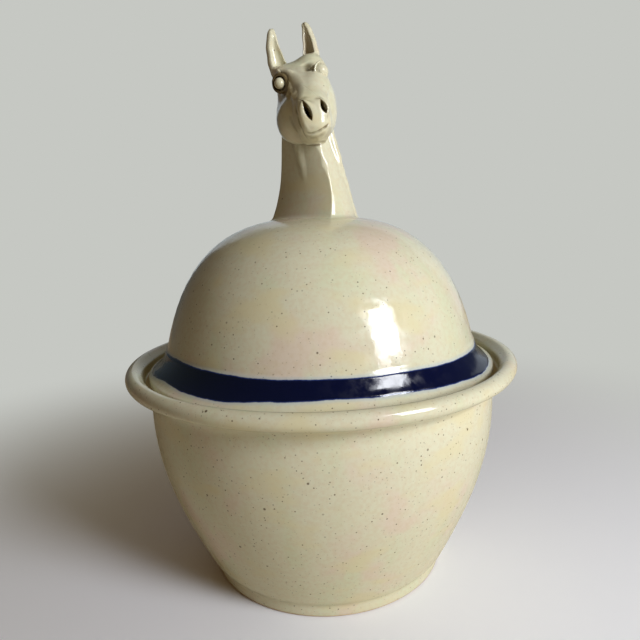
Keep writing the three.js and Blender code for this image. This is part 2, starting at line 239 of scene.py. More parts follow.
glaze = {
    "cream": shade(214, 211, 185), "pink": shade(217, 202, 183), "green": shade(210, 211, 181),
    "straw": shade(216, 206, 166), "clay": shade(205, 182, 146),
    "speck": shade(86, 66, 42), "paleSpeck": shade(152, 132, 98),
    "cobalt": shade(2, 4, 40), "wash": shade(34, 52, 108), "halo": shade(176, 190, 200),
    # a dark olive for pooled glaze and painted shade in grooves, and a near-black painted shadow for the
    # deepest holes
    "poolAndShade": shade(96, 78, 42), "hollow": shade(16, 10, 6), "shadeAndPoolReach": 1.3,
    "glossSize": 6, "roughness": (0.08, 0.24),
    "clayRoughness": 0.8, "ior": 1.5, "bumpStrength": 0.35, "bumpHeight": 0.4,
    "ripple": (7, 0.9), "tooth": (1.1, 0.1), "bandRelief": 0.25, "bandRagged": (2.4, 0.5),
    "clayRagged": (5, 0.8),
    # clouds where the glaze lies thick or thin: size in mm, stretch, detail, from, to, most, colour
    "clouds": ((38, (1, 1, 1), 3, 0.52, 0.68, 1, "pink"), (22.8, (1, 1, 0.35), 3, 0.5, 0.68, 1, "green"),
               (2.2, (1, 1, 1), 4, 0.35, 0.75, 0.3, "clay"), (30.4, (1, 1, 2), 2, 0.5, 0.7, 0.7, "straw")),
    # iron specks: cell, smallest and largest in mm, share of the cells, colour, faintest, strongest
    "specks": ((1.5, 0.12, 0.34, 0.7, "paleSpeck", 0.15, 0.5),
               (2.5, 0.16, 0.46, 0.9, "speck", 0.35, 0.95),
               (7.5, 0.42, 0.82, 0.6, "speck", 0.45, 0.95)),
    # darker in grooves and hollows, partly glaze gathered there and partly painted shade, with a
    # near-black painted shadow in the deepest holes: attribute, from, to, most, colour
    "poolsAndShade": (("pooledAndShaded", 0.05, 0.6, 0.95, "poolAndShade"), ("sunk", 0.3, 1.4, 0.85, "poolAndShade"),
              ("sunk", 1.2, 3.4, 1, "hollow")),
    # the band's coats by distance inside its painted edge in mm: from, to, most, colour
    "bandCoats": ((-2.6, 0.1, 0.6, "halo"), (-0.3, 0.2, 1, "wash"), (0, 0.8, 1, "cobalt")),
}


def specks(n, place, cell, smallest, largest, share):
    spots = n.add("ShaderNodeTexVoronoi", {"Vector": place, "Scale": 1 / (cell * mm), "Randomness": 1.0})
    draw = n.add("ShaderNodeSeparateColor", {0: spots.outputs["Color"]})
    size = n.ramp(draw.outputs[0], 1 - share, 1, smallest / cell, largest / cell)
    kept = n.maths("GREATER_THAN", draw.outputs[0], 1 - share)
    edge = n.maths("DIVIDE", spots.outputs["Distance"], size)
    spot = n.ramp(edge, 0.55, 1.25, 1, 0)
    return n.maths("MULTIPLY", spot, kept), draw.outputs[1]


def bareClay(n, place, limits):  # unglazed rings, each from inner to outer radius and low to high
    split = n.add("ShaderNodeSeparateXYZ", {0: place}).outputs
    squares = n.maths("ADD", n.maths("POWER", split[0], 2), n.maths("POWER", split[1], 2))
    radius = n.maths("SQRT", squares)
    size, amount = glaze["clayRagged"]
    z = n.maths("ADD", split[2], n.ragged(place, size, amount * mm))
    total = None
    for inner, outer, low, high in limits:
        ring = n.between(radius, inner * mm, outer * mm)
        mask = n.maths("MULTIPLY", n.between(z, low * mm, high * mm), ring)
        total = mask if total is None else n.maths("MAXIMUM", total, mask)
    return total


def creamGlaze(name, speckShare=1.0, band=False, clayLimits=None, withPoolsAndShade=False):
    material, n, shader, _ = newMaterial(name)
    place = n.add("ShaderNodeTexCoord").outputs["Object"]
    colour = glaze["cream"]
    for size, stretch, detail, start, end, most, tone in glaze["clouds"]:
        cloud = n.noise(n.stretched(place, stretch), size, detail)
        colour = n.mix(n.ramp(cloud, start, end, 0, most), colour, glaze[tone])
    for cell, smallest, largest, share, tone, faintest, strongest in glaze["specks"]:
        spot, draw = specks(n, place, cell, smallest, largest, share * speckShare)
        strength = n.maths("MULTIPLY", spot, n.ramp(draw, 0, 1, faintest, strongest))
        colour = n.mix(strength, colour, glaze[tone])
    # pooled glaze and painted shade darken grooves and hollows; the deepest holes get a near-black painted
    # shadow
    for attribute, start, end, most, tone in glaze["poolsAndShade"] if withPoolsAndShade else ():
        colour = n.mix(n.ramp(n.painted(attribute), start, end, 0, most), colour, glaze[tone])
    roughness = n.ramp(n.noise(place, glaze["glossSize"], 4), 0.35, 0.65, *glaze["roughness"])
    rippleSize, ripple = glaze["ripple"]
    toothSize, tooth = glaze["tooth"]
    relief = n.maths("ADD", n.maths("MULTIPLY", n.noise(place, toothSize, 2), tooth),
                     n.maths("MULTIPLY", n.noise(place, rippleSize, 3), ripple))
    if clayLimits:
        bare = bareClay(n, place, clayLimits)
        colour = n.mix(bare, colour, glaze["clay"])
        roughness = n.add("ShaderNodeMix", {0: bare, 2: roughness, 3: glaze["clayRoughness"]},
                          data_type="FLOAT").outputs[0]
    if band:
        depth = n.maths("ADD", n.painted("bandDepth"), n.ragged(place, *glaze["bandRagged"]))
        for start, end, most, tone in glaze["bandCoats"]:
            coat = n.ramp(depth, start, end, 0, most)
            colour = n.mix(coat, colour, glaze[tone])
        relief = n.maths("ADD", relief, n.maths("MULTIPLY", coat, glaze["bandRelief"]))
    bump = n.add("ShaderNodeBump", {"Height": relief, "Strength": glaze["bumpStrength"],
                                    "Distance": glaze["bumpHeight"] * mm})
    n.put(shader.inputs["Base Color"], colour)
    n.put(shader.inputs["Roughness"], roughness)
    n.put(shader.inputs["Normal"], bump.outputs[0])
    n.put(shader.inputs["IOR"], glaze["ior"])
    return material


def givePiece(piece, body, nodes, material):
    piece.data.materials.append(material)
    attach(piece, body)
    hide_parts(*nodes)


# Bowl

bowlHigh = boxOf("bowl")[1]
bowl = {
    "footRadius": 75.2, "footRing": 9.5, "footRecess": 3.6, "footHeight": 8.4, "footRound": 1.7,
    "baseRadius": 73.6, "bellyRadius": 106.8, "bellyHeight": 109, "wall": 6.8, "floor": 8,
    "rimRoll": 4.6, "rollTurn": (-95, 112), "rimUnder": 15, "floorSweep": 26,
    "gallery": 110.4, "galleryDepth": 9.5, "ledge": 10.2,
    "sway": (0.22, 0.1), "throwingRings": (0.05, 0.03), "wobbleFrom": (4, 20), "wobbleEnd": (12, 6),
    "rimLift": 0.15, "rimFrom": (112, 115),
    "meshStep": 3, "segments": 224,
}
rimHeight = bowlHigh[2]
rimMiddle = (bowlHigh[0] - bowl["rimRoll"], rimHeight - bowl["rimRoll"])


def wallRadius(z):
    rise = bowl["bellyRadius"] - bowl["baseRadius"]
    return bowl["baseRadius"] + rise * np.sin(math.pi / 2 * z / bowl["bellyHeight"])


def insideRadius(z):
    slope = (wallRadius(z + 1) - wallRadius(z - 1)) / 2
    return wallRadius(z) - bowl["wall"] * np.hypot(1, slope)


def bowlPath():
    foot, ring = bowl["footRadius"], bowl["footRing"]
    ledgeTop = rimHeight - bowl["galleryDepth"]
    underside = softened([
        (0, bowl["footRecess"], 0), (foot - ring - 4, bowl["footRecess"], 1.5),
        (foot - ring, 0, 1.2), (foot - 0.6, 0, bowl["footRound"]), (foot, 2.6, 1.2),
        (foot + 0.25, bowl["footHeight"] - 0.8, 1.6), (wallRadius(12), 12, 1.6), (wallRadius(16), 16, 0),
    ])
    wallTop = rimHeight - bowl["rimRoll"] - bowl["rimUnder"]
    heights = np.linspace(17, wallTop, 40)
    wall = np.column_stack([wallRadius(heights), heights])
    turn = np.radians(np.linspace(*bowl["rollTurn"], 34))
    roll = np.column_stack([rimMiddle[0] + bowl["rimRoll"] * np.cos(turn),
                            rimMiddle[1] + bowl["rimRoll"] * np.sin(turn)])
    bend = (wallRadius(wallTop), wallTop + bowl["rimUnder"] / 2)
    under = bezier([wall[-1], bend, roll[0]], 14)[1:-1]
    innerTop = ledgeTop - bowl["galleryDepth"]
    shelf = softened([
        tuple(roll[-1]) + (0,), (bowl["gallery"], rimHeight - 3.4, 1.6), (bowl["gallery"], ledgeTop, 2.4),
        (bowl["gallery"] - bowl["ledge"], ledgeTop, 1.1), (insideRadius(innerTop), innerTop, 2),
        (insideRadius(innerTop - 4), innerTop - 4, 0),
    ])[1:]
    floorTop = bowl["footRecess"] + bowl["floor"]
    sweep = bowl["floorSweep"]
    heights = np.linspace(innerTop - 5, floorTop + sweep, 30)
    inside = np.column_stack([insideRadius(heights), heights])
    corner = insideRadius(floorTop + sweep / 4)
    bottom = bezier([inside[-1], (corner, floorTop), (corner - 2 * sweep, floorTop)], 16)[1:]
    path = np.vstack([underside, wall, under, roll, shelf, inside, bottom, [(0, floorTop)]])
    return evened(path, bowl["meshStep"])


# The small unevenness of a thrown pot: a sway, rings and a rim that isn't quite level.
def throwing(r, z, angles):
    fadeStart, fadeEnd = (rimHeight - depth for depth in bowl["wobbleEnd"])
    wall = smoothStep(*bowl["wobbleFrom"], z) * (1 - smoothStep(fadeStart, fadeEnd, z))
    wide, small = bowl["sway"]
    sway = wide * np.sin(2 * angles + 1.3 + z / 55) + small * np.sin(3 * angles - z / 30)
    coarse, fine = bowl["throwingRings"]
    rings = coarse * np.sin(z * 1.15 + angles) + fine * np.sin(z * 2.3 - angles)
    rim = smoothStep(fadeEnd, rimHeight, z) * smoothStep(*bowl["rimFrom"], r)
    return wall * (sway + rings), bowl["rimLift"] * rim * np.sin(2 * angles + 0.6)


def makeBowl():
    piece = turned("glazedBowl", bowlPath(), bowl["segments"], throwing, closed=False)
    foot = bowl["footRadius"]
    ledgeTop = rimHeight - bowl["galleryDepth"]
    material = creamGlaze("speckledCream", clayLimits=[
        (foot - bowl["footRing"] - 2, foot + 2, -2, 1.3),
        (bowl["gallery"] - bowl["ledge"] - 1, bowl["gallery"] - 1, ledgeTop - 1.5, ledgeTop + 1),
    ])
    givePiece(piece, "bowl", ["bowl"], material)


makeBowl()
print("bowl turned")


# Lid and its painted band

lidLow, lidHigh = boxOf("lid_dome")
lid = {
    "flange": 5, "seat": 12.5, "cove": (10.6, 13.8), "coveHollow": 0.22, "crease": 0.6, "wall": 6,
    "lean": 13, "shoulder": 0.96, "crown": 0.41, "vent": 6,
    "sway": (0.25, 0.1), "throwingRings": 0.05, "meshStep": 2.6, "segments": 256,
}
flangeRadius = lidHigh[0]
seatHeight = lidLow[2]
coveFoot = np.array([flangeRadius - 0.9, seatHeight + lid["flange"]])
coveTop = coveFoot + np.array([-1, 1]) * lid["cove"]
domeFoot = coveTop + np.array([-1, 1]) * lid["crease"]
crownHeight = lidHigh[2]


def domeCurve(inset, steps):
    start = domeFoot - (inset, 0)
    height = crownHeight - domeFoot[1] - inset
    lean = math.radians(lid["lean"])
    shoulder = start + height * lid["shoulder"] * np.array([-math.sin(lean), math.cos(lean)])
    top = start[1] + height
    return bezier([start, shoulder, (start[0] * lid["crown"], top), (0, top)], steps)


def coveCurve(steps):
    hollow = lid["coveHollow"]
    middle = (coveTop[0] + lid["cove"][0] * hollow, coveFoot[1] + lid["cove"][1] * hollow)
    return bezier([coveFoot, middle, coveTop], steps)


def lidPath():
    outer = domeCurve(0, 80)
    inner = domeCurve(lid["wall"], 50)
    outer = outer[outer[:, 0] > lid["vent"]]
    inner = inner[inner[:, 0] > lid["vent"]][::-1]
    seatInner = flangeRadius - lid["seat"]
    flange = softened([
        (seatInner, seatHeight, 0), (flangeRadius, seatHeight, 1.3),
        (flangeRadius, coveFoot[1], 1.5), tuple(coveCurve(20)[1]) + (0,),
    ])
    tail = [(lid["vent"], outer[-1][1]), (lid["vent"], inner[0][1])]
    under = softened([tuple(inner[-1]) + (0,), (inner[-1][0] + 0.6, seatHeight + 7, 1.5),
                      (seatInner - 0.9, seatHeight + 1.2, 0.8), (seatInner, seatHeight, 0)])[1:-1]
    path = np.vstack([flange, coveCurve(20)[2:], outer, tail, inner, under])
    return evened(path, lid["meshStep"])


def lidThrowing(r, z, angles):
    dome = smoothStep(domeFoot[1] + 2, domeFoot[1] + 20, z) * smoothStep(20, 45, r)
    wide, small = lid["sway"]
    sway = wide * np.sin(2 * angles + 0.4 + z / 60) + small * np.sin(3 * angles + z / 25)
    return dome * (sway + lid["throwingRings"] * np.sin(z * 0.95 + angles)), 0 * angles


# The brushed edges of the band, as heights along the cove at azimuths from the front.
band = {
    "azimuths": (-180, -140, -100, -80, -54, -40, -28, -14, 0, 12, 24, 36, 50, 64, 90, 130, 180),
    "lowEdge": (5.0, 4.2, 2.2, 0.8, 5.2, 4.0, 4.4, 6.3, 7.2, 7.0, 6.2, 5.2, 3.0, 1.6, 3.6, 5.4, 5.0),
    "topEdge": (17.8, 18.6, 17.4, 17.6, 19.3, 18.8, 18.0, 17.6, 17.4, 17.2, 16.9, 16.4, 15.6, 15.4,
                16.4, 17.2, 17.8),
    "overlap": 0.8, "thickness": 0.45, "bevel": 2.2, "sunk": 0.12, "underside": 0.4,
    "rows": 30, "segments": 384,
}


def bandEdges(azimuth):
    low = through(band["azimuths"], band["lowEdge"], azimuth)
    top = through(band["azimuths"], band["topEdge"], azimuth)
    a = np.radians(azimuth)  # the brush's small waver
    low = low + 0.22 * np.sin(17 * a + 0.5) + 0.08 * np.sin(41 * a) + 0.05 * np.sin(73 * a + 1)
    top = top + 0.12 * np.sin(13 * a + 2) + 0.07 * np.sin(37 * a)
    return low, top


def azimuthOf(x, y):
    return np.degrees(np.arctan2(x, -y))


coveLine = np.vstack([coveCurve(60), domeCurve(0, 400)[:60]])
coveRun = np.concatenate([[0], np.cumsum(np.linalg.norm(np.diff(coveLine, axis=0), axis=1))])
coveReach, offBand = 2.5, -20


def bandDepth(vertices):
    x, y, z = vertices.T
    radius = np.hypot(x, y)
    gap = np.full(len(z), 1e9)
    run = np.zeros(len(z))
    for point, length in zip(coveLine, coveRun):
        d = np.hypot(radius - point[0], z - point[1])
        nearer = d < gap
        gap[nearer] = d[nearer]
        run[nearer] = length
    low, top = bandEdges(azimuthOf(x, y))
    depth = np.minimum(run - low, top - run)
    return np.where(gap > coveReach, offBand, depth)


def makeLid():
    piece = turned("lidDome", lidPath(), lid["segments"], lidThrowing)
    points = np.array([v.co for v in piece.data.vertices]) / mm
    addAttribute(piece, "bandDepth", bandDepth(points))
    material = creamGlaze("lidCream", speckShare=0.7, band=True, clayLimits=[
        (flangeRadius - lid["seat"] - 2, flangeRadius - 0.6, seatHeight - 2, seatHeight + 1.2)])
    givePiece(piece, "lid", ["lid_dome"], material)
    return material


def makeBand(material):
    rows, segments = band["rows"], band["segments"]
    azimuths = np.linspace(-180, 180, segments, endpoint=False)
    angle = np.radians(azimuths)
    low, top = bandEdges(azimuths)
    low, top = low - band["overlap"], top + band["overlap"]
    vertices, depths = [], []
    tangent = np.gradient(coveLine, coveRun, axis=0)
    tangent /= np.linalg.norm(tangent, axis=1)[:, None]
    for side in (1, -1):  # the face of the coat, then its underside
        for k in range(rows + 1):
            share = k / rows if side > 0 else 1 - k / rows
            run = low + (top - low) * share
            depth = np.minimum(run - low, top - run)
            r, z = (np.interp(run, coveRun, coveLine[:, axis]) for axis in (0, 1))
            tr, tz = (np.interp(run, coveRun, tangent[:, axis]) for axis in (0, 1))
            coat = band["thickness"] * smoothStep(0, band["bevel"], depth) - band["sunk"]
            lift = coat if side > 0 else -band["underside"]
            r, z = r + tz * lift, z - tr * lift
            vertices.extend(zip(r * np.sin(angle), -r * np.cos(angle), z))
            depths.extend(depth - band["overlap"])
    count = 2 * (rows + 1)
    faces = []
    for k in range(count):
        here, above = k * segments, (k + 1) % count * segments
        for i in range(segments):
            j = (i + 1) % segments
            faces.append((here + i, here + j, above + j, above + i))
    piece = meshPiece("cobaltBand", vertices, faces)
    addAttribute(piece, "bandDepth", depths)
    givePiece(piece, "lid", ["cobalt_band"], material)


makeBand(makeLid())
print("lid turned and banded")


# Finial, sculpted as a field of distances in mm and skinned

def smoothUnion(a, b, soft):
    h = np.clip(0.5 + 0.5 * (b - a) / soft, 0, 1)
    return b + (a - b) * h - soft * h * (1 - h)


def smoothCut(a, b, soft):
    return -smoothUnion(-a, -b, soft)


def egg(p, centre, radii):  # distance to an ellipsoid
    q = (p - np.asarray(centre, np.float32)) / np.asarray(radii, np.float32)
    near = np.sqrt((q * q).sum(1)) + 1e-6
    far = np.sqrt(((q / np.asarray(radii, np.float32)) ** 2).sum(1)) + 1e-6
    return near * (near - 1) / far


def strokeGap(p, path):
    best, along = np.full(len(p), 1e6, np.float32), np.zeros(len(p), np.float32)
    for k, (a, b) in enumerate(zip(path, path[1:])):
        a, b = np.asarray(a, np.float32), np.asarray(b, np.float32)
        run = b - a
        t = np.clip(((p - a) @ run) / (run @ run), 0, 1)
        gap = np.sqrt(((p - a - t[:, None] * run) ** 2).sum(1))
        along = np.where(gap < best, (k + t) / (len(path) - 1), along)
        best = np.minimum(best, gap)
    return best, along


def brush(field, p, path, width, depth):  # a groove along a path, or a ridge where depth is negative
    path = np.asarray(path, float)
    low, high = path.min(0) - 3 * width, path.max(0) + 3 * width
    near = ((p > low) & (p < high)).all(1)
    if near.any():
        gap, along = strokeGap(p[near], path)
        pressed = depth * np.minimum(1, 0.15 + 4 * np.minimum(along, 1 - along))
        field[near] += pressed * np.exp(-(gap / width) ** 2)
    return field


def rotation(axis, degrees):
    return np.array(Matrix.Rotation(math.radians(degrees), 3, axis))


neck = {
    "base": (50, 47), "top": (26.4, 25), "powers": (1.25, 1.9), "height": 72.5, "lean": -4.2,
    "sway": 9.5, "flare": 0.8, "flareReach": 0.17, "tongue": 5.9, "bore": 6, "roof": 22, "start": 217.0,
    "corner": 4.0, "slim": 0.9, "slimFrom": (0.25, 0.65),
    # the flat left face: how far it lies in at each height, and the softness of its two edges
    "faceTurn": 37, "faceCurve": 4.2,
    "faceHeights": (217, 231, 240, 250, 264), "faceInset": (15.2, 11.2, 9.6, 9.0, 9.1),
    "ridge": 1.6, "ridgeSoft": (0.2, 0.2), "ridgeFrom": (232, 248),
    "dabs": ((2.5, 262.6), (7.8, 250.7)), "dabSize": (5, 3),
}
head = {
    "forward": 4, "roll": 4, "power": 2.3, "skullRound": 8, "muzzleRound": 5,
    "reach": (-8, 0, 9, 18, 27, 36), "rise": (-3, -2.5, -9.5, -14.4, -19.3, -23.3),
    "halfWidth": (13, 15.5, 16.8, 16.0, 10.6, 7.4), "halfHeight": (15.6, 19.5, 20, 17.0, 12.4, 8.8),
    "lean": (0, 0, 4, 8, 8, 6), "shift": (0, 0, 0, 0.6, 2.2, 4), "slack": 0.95,
    "cell": 0.45, "margin": 3,
}
headPlace = np.array([neck["lean"], -head["forward"], crownHeight + neck["height"]])
headTurn = rotation("Y", -head["roll"])


def toHead(p):
    return ((p - headPlace) @ headTurn).astype(np.float32)


def fromHead(q):
    return np.asarray(q, float) @ headTurn.T + headPlace


def slices(name, reach):
    return through(head["reach"], head[name], reach)


def headLoft(q):  # the plain head: rounded slices along the nose, from the skull to the muzzle
    x, y, z = q.T
    reach = -y
    first, last = head["reach"][0], head["reach"][-1]
    guess = np.clip(reach, first, last)
    reach = reach - (z - slices("rise", guess)) * np.sin(np.radians(slices("lean", guess)))
    t = np.clip(reach, first, last)
    over = reach - t
    over = over / np.where(over < 0, head["skullRound"], head["muzzleRound"])
    wide, tall = slices("halfWidth", t), slices("halfHeight", t)
    dx, dz = (x - slices("shift", t)) / wide, (z - slices("rise", t)) / tall
    power = head["power"]
    size = (np.abs(dx) ** power + np.abs(dz) ** power + np.abs(over) ** power + 1e-9) ** (1 / power)
    return ((size - 1) * np.minimum(wide, tall) * head["slack"]).astype(np.float32)


def onFace(x, z):  # the point of the face in front of x and z
    ys = np.linspace(-60, 10, 281)
    q = np.column_stack([np.full_like(ys, x), ys, np.full_like(ys, z)]).astype(np.float32)
    hit = np.argmax(faceForm(q) < 0)
    return (x, ys[hit], z)


# The front of the face from the forehead to the upper lip: depth and the two edges at each height.
face = {
    "heights": (-33, -30.5, -28, -22, -16, -11, -5, 0, 5, 9, 13, 17),
    "depth": (-31.5, -36.6, -40.6, -41.9, -41.4, -38.8, -32.2, -26.2, -20.2, -14.8, -9.2, -2),
    "left": (1.5, 0.4, -0.6, -2.6, -3.1, -2.4, -1.8, -3.2, -6, -11.5, -13.5, -13),
    "right": (8, 9, 10, 10.8, 10.8, 10.6, 10.5, 10.5, 11, 11.4, 11, 9),
    "leftTurn": 65, "rightTurn": 74, "rightRound": 7,
    "leftRound": ((-30, -14, -6, 3, 10), (1.6, 1.7, 2.6, 3.6, 4.5)),
    "bottom": (-33, 2), "top": (16, 3), "thick": (3, 12), "proud": 11, "rimSoft": 2,
    "cheekEase": 0.4, "cheekSoft": 3, "blend": (2.4, 3), "blendFrom": (1, 9),
    # jowl, crown and cheek: centre, radii and softness
    "mounds": (((-8, -16, -19), (8.2, 11, 10.5), 4), ((6, -1, 12.4), (8, 8, 7.2), 4),
               ((8.4, -16, -10), (7.4, 11, 15), 5)),
}


def edgeLength(a, b, soft):  # where two half spaces meet in a rounded edge
    outside = np.sqrt(np.maximum(a + soft, 0) ** 2 + np.maximum(b + soft, 0) ** 2)
    return outside + np.minimum(np.maximum(a, b) + soft, 0) - soft


def faceFront(q):
    x, y, z = q.T
    below, depth, above = (through(face["heights"], face["depth"], z + step) for step in (-0.5, 0, 0.5))
    front = (depth - y) / np.hypot(1, above - below)

    def sideOf(edge, turn, sign):
        away, turn = through(face["heights"], face[edge], z) - x, math.radians(face[turn])
        return sign * away * math.sin(turn) + (depth - y) * math.cos(turn)

    sideLeft, sideRight = sideOf("left", "leftTurn", 1), sideOf("right", "rightTurn", -1)
    f = edgeLength(front, sideLeft, through(*face["leftRound"], z))
    f = edgeLength(f, sideRight, face["rightRound"])
    f = edgeLength(f, face["bottom"][0] - z, face["bottom"][1])
    f = edgeLength(f, z - face["top"][0], face["top"][1])
    return f, y - depth, sideLeft


def faceForm(q):
    f = headLoft(q)
    front, behind, side = faceFront(q)
    f = smoothCut(f, side - face["cheekEase"], face["cheekSoft"])
    proud = face["proud"] * (1 - smoothStep(*face["thick"], behind)) - 1
    front = edgeLength(front, f - proud, face["rimSoft"])
    soft, more = face["blend"]
    f = smoothUnion(f, front, soft + more * smoothStep(*face["blendFrom"], q[:, 0]))
    for centre, radii, soft in face["mounds"]:
        f = smoothUnion(f, egg(q, centre, radii), soft)
    return f


# Left eye and right eye. The left ball is small and round, the right one large and half shut.
eyes = {
    -1: {"label": "left", "turn": -28, "nudge": (0.7, -0.8, 0), "ball": 3.1, "groove": 0.8,
         "moundBack": 2.6, "moundEase": 0, "lidGap": 1.25, "lidAhead": -0.1},
    1: {"label": "right", "turn": 40, "nudge": (-0.7, -2.6, -1.3), "ball": 4.5, "groove": -0.3,
        "moundBack": 3.4, "moundEase": 0.3, "lidGap": 0.4, "lidAhead": 1.0},
}
socket = {
    "mound": (4.9, 4.9, 5.1), "moundSoft": 2.2, "lidSoft": 1.2, "cutSoft": 0.4,
    "coil": (0.55, 0.25), "halfCoil": (-0.5, 1.1), "halfCoilFrom": (0.1, 0.9), "oval": 0.25, "slope": 0.6,
}
for eye in eyes.values():
    low, high = boxOf("eye_" + eye["label"])
    turn = math.radians(eye["turn"])
    eye["centre"] = toHead(((low + high) / 2)[None])[0] + np.array(eye["nudge"])
    eye["gaze"] = np.array([math.sin(turn), -math.cos(turn), 0])

# Strokes on the face as x and z, then width and depth.
lines = {
    "mouth": (((-0.6, -28.8), (1.6, -29.8), (4.8, -29.5), (8.4, -28.0), (11.8, -25.6)), 0.62, 2.0),
    "lip": (((-0.4, -31.2), (4.6, -31.8), (9.8, -29.6)), 1.8, 0.7),
    "foldNear": (((-4.6, -13.5), (-4.4, -19.6), (-2.8, -27), (0.6, -32.5)), 0.9, 0.7),
    "foldFar": (((-8.7, -17), (-8.1, -19.8), (-5.8, -26.6), (-2.6, -30)), 1.0, 0.4),
}
eyeX, _, eyeZ = eyes[-1]["centre"]
browLine = (((eyeX - 4.6, eyeZ + 5.6), (eyeX, eyeZ + 6.8), (eyeX + 4.6, eyeZ + 6.0),
             (eyeX + 8.4, eyeZ + 3.6)), 1.7, -1.5)
dip = (((3.4, -10, 13.5), (4.4, -12, 11.4), (5.0, -15, 8.6), (5.4, -19, 5)), 3.0, 1.5)


def placed(line):
    path, width, depth = line
    return [onFace(x, z) for x, z in path], width, depth


grooves = [placed(line) for line in lines.values()] + [dip]
browRidge = placed(browLine)

nostril = {
    # the two ends as x and z, and half the width
    "places": (((-0.4, -13.4), (2.8, -23.2), 1.45), ((8.8, -13.6), (10.8, -20.2), 1.35)),
    "rimWide": 1.3, "rimThick": 1.1, "rimLong": 0.4, "rimBack": 0.7, "rimSoft": 2.2,
    "slant": 0.5, "taper": 0.25, "depth": (0.5, 9), "cutSoft": 0.9,
}


def nostrilCut(f, q, top, bottom, half):
    front = onFace((top[0] + bottom[0]) / 2, (top[1] + bottom[1]) / 2)
    length = math.dist(top, bottom) / 2
    tilt = rotation("Y", math.degrees(math.atan2(bottom[0] - top[0], top[1] - bottom[1])))
    local = (q - np.asarray(front, np.float32)) @ tilt.T.astype(np.float32)
    radii = (half + nostril["rimWide"], nostril["rimThick"], length + nostril["rimLong"])
    f = smoothUnion(f, egg(local, (0, nostril["rimBack"], 0), radii), nostril["rimSoft"])
    along = np.clip(local[:, 2] / length, -1.2, 1.2)
    slant = local[:, 0] + nostril["slant"] * np.maximum(local[:, 1], 0)
    hole = np.abs(slant) - half * (1 - along ** 2) * (1 - nostril["taper"] * along)
    shallow, more = nostril["depth"]
    deep = shallow + more * smoothStep(-0.85, 0.0, along)
    hole = np.maximum(hole * 0.8, (local[:, 1] - deep) * 0.7)
    return smoothCut(f, -hole, nostril["cutSoft"])


def headField(q):
    f = faceForm(q)
    for path, width, depth in grooves:
        f = brush(f, q, path, width, depth)
    for eye in eyes.values():
        mound = egg(q, eye["centre"] - eye["gaze"] * eye["moundBack"], socket["mound"])
        f = smoothUnion(f, mound + eye["moundEase"], socket["moundSoft"])
    f = brush(f, q, *browRidge)
    for place in nostril["places"]:
        f = nostrilCut(f, q, *place)
    for side, eye in eyes.items():
        f = smoothUnion(f, lidField(q, side), socket["lidSoft"])
        ball = np.linalg.norm(q - eye["centre"], axis=1)
        f = smoothCut(f, eye["ball"] + eye["groove"] - ball, socket["cutSoft"])
    return f


def lidField(q, side):  # a coil round the eye: a full ring on the left, an upper lid on the right
    eye = eyes[side]
    d = q - eye["centre"].astype(np.float32)
    ahead = d @ eye["gaze"]
    across, up = d @ np.cross(eye["gaze"], (0, 0, 1)), d[:, 2]
    around = np.hypot(across, up) + 1e-6
    height = up / around
    if side < 0:
        least, more = socket["coil"]
        tube = least + more * np.maximum(height, 0)
    else:
        least, more = socket["halfCoil"]
        tube = least + more * smoothStep(*socket["halfCoilFrom"], 0.6 * height + 0.8 * across / around)
    ring = eye["ball"] + eye["lidGap"] + socket["oval"] * np.abs(height)
    push = eye["lidAhead"] + socket["slope"] * height
    return np.hypot(around - ring, ahead - push) - tube


ear = {
    "length": {-1: 30, 1: 28}, "rise": 9, "halfWidth": {-1: 6.0, 1: 5.5}, "halfThick": 4.2,
    "spacing": 19, "shift": {-1: (0.7, 0.8), 1: (-2.3, 4.3)}, "curl": 1.8, "sweep": 3, "tilt": 10,
    "cup": 32, "cupPlace": 1.9, "cupFade": 2.6, "cupFadeFrom": (0.5, 0.98), "cupFoot": 0.1,
    "edge": (1.8, 0.4), "thinnest": 0.2, "edgeSoft": 1.3,
    "setBack": 1, "waver": 0.22, "tip": (0.94, 0.07),
    "shares": (0, 0.2, 0.34, 0.46, 0.61, 0.72, 0.83, 0.93, 1),
    "fullness": (0.92, 1, 0.96, 0.86, 0.74, 0.65, 0.54, 0.4, 0.3),
}


def earField(q, side):
    turn = rotation("Y", -ear["tilt"])
    x, y, z = (q @ turn.astype(np.float32)).T
    share = (z - ear["rise"]) / ear["length"][side]
    t = np.clip(share, -0.1, 0.985)
    base, lean = ear["shift"][side]
    cx = side * (ear["spacing"] / 2 + ear["curl"] * np.sin(math.pi * np.clip(t, 0, 1))) + base + lean * t
    cy = ear["setBack"] + ear["sweep"] * t * t
    full = through(ear["shares"], ear["fullness"], t)
    cup = math.radians(ear["cup"])
    waver = ear["waver"] * np.sin(z * 0.55 + 2 * side) * np.sin(z * 0.21 + side)
    dx, dy = x - cx - waver, y - cy
    u = dx * math.cos(cup) - dy * side * math.sin(cup)
    v = -dx * side * math.sin(cup) - dy * math.cos(cup)
    wide, thick = ear["halfWidth"][side] * full, ear["halfThick"] * full ** 0.7
    over = np.maximum(share - ear["tip"][0], 0) / ear["tip"][1]
    outer = (np.sqrt((u / wide) ** 2 + (v / thick) ** 2 + over ** 2) - 1) * np.minimum(wide, thick)
    hollowWide = np.maximum(wide - ear["edge"][0], ear["thinnest"])
    hollowThick = np.maximum(thick - ear["edge"][1], ear["thinnest"])
    ahead = ear["cupPlace"] + ear["cupFade"] * smoothStep(*ear["cupFadeFrom"], share)
    inner = np.sqrt((u / hollowWide) ** 2 + ((v - ahead) / hollowThick) ** 2) - 1
    foot = (ear["cupFoot"] - share) * ear["length"][side]
    inner = np.maximum(inner * np.minimum(hollowWide, hollowThick), foot)
    return smoothCut(outer, -inner, ear["edgeSoft"]).astype(np.float32)


